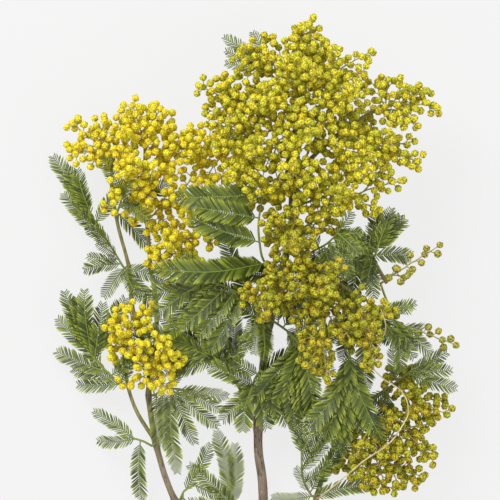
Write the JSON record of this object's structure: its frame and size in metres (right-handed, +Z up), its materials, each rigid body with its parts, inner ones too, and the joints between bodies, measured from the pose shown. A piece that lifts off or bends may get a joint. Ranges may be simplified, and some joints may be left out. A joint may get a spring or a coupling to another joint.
{
  "type": "mimosa sprig",
  "caption": "Cut flowering sprig of mimosa (silver wattle) with round yellow flower heads and feathery leaves, lying on its side.",
  "frame": {"origin": "middle of the underside of the sprig's bounding box, on the surface it lies on", "axes": "+Y from the cut end of the stem towards the flowering top, +Z up from the surface, +X across"},
  "size_m": [0.2474, 0.4248, 0.101],
  "materials": {
    "bark": "grey-brown bark with small knobs, green on the young shoots",
    "lime_flower": "matt, soft, lime-yellow flower heads of tiny florets",
    "yellow_flower": "matt, soft, warm yellow flower heads of tiny florets",
    "olive_flower": "matt, soft, olive-green half-open flower heads",
    "leaf": "satin, thin green leaflets with a bluish bloom below",
    "dry_stalk": "matt, pale beige dried leaf stalk"
  },
  "bodies": {
    "root": {"woody_stem": "bark", "spray_top": "lime_flower", "spray_top_left": "lime_flower", "spray_top_right": "lime_flower", "spray_top_front": "lime_flower", "spray_high_left": "lime_flower", "spray_left_edge": "lime_flower", "spray_centre_high": "lime_flower", "spray_centre": "lime_flower", "spray_centre_front": "lime_flower", "spray_centre_right": "lime_flower", "spray_centre_low": "lime_flower", "spray_left_low": "lime_flower", "spray_high_right": "lime_flower", "spray_right_edge": "lime_flower", "spray_right_front": "lime_flower", "spray_right_low": "lime_flower", "spray_right_low_front": "lime_flower", "spray_back_top": "lime_flower", "spray_back_right": "lime_flower", "spray_back_left": "yellow_flower", "spray_front_left": "yellow_flower", "spray_front_high": "yellow_flower", "spray_front_mid": "yellow_flower", "spray_front_low": "yellow_flower", "spray_front_right": "yellow_flower", "spray_right_twig": "olive_flower", "spray_right_lower_twig": "olive_flower", "spray_left_top": "yellow_flower", "spray_left_far": "yellow_flower", "spray_left_right": "yellow_flower", "spray_left_front": "yellow_flower", "spray_left_mid": "yellow_flower", "spray_left_under": "yellow_flower", "spray_lower_left_top": "yellow_flower", "spray_lower_left": "yellow_flower", "spray_lower_right_top": "yellow_flower", "spray_lower_right": "yellow_flower", "spray_lower_right_inner": "yellow_flower", "spray_lower_right_low": "yellow_flower", "leaf_mid_upper": "leaf", "leaf_mid_lower": "leaf", "leaf_low_mid": "leaf", "leaf_low_left": "leaf", "leaf_bottom_left": "leaf", "leaf_left_base": "leaf", "leaf_left_lower": "leaf", "leaf_left_upper": "leaf", "leaf_left_inner": "leaf", "leaf_top_left": "leaf", "leaf_right_mid": "leaf", "leaf_right_feather": "leaf", "leaf_right_low": "leaf", "leaf_right_pale": "leaf", "leaf_centre_bottom": "leaf", "leaf_centre_left": "leaf", "leaf_hanging": "leaf", "leaf_stem": "leaf", "leaf_right_base": "leaf", "dried_rachis": "dry_stalk"}
  },
  "joints": []
}
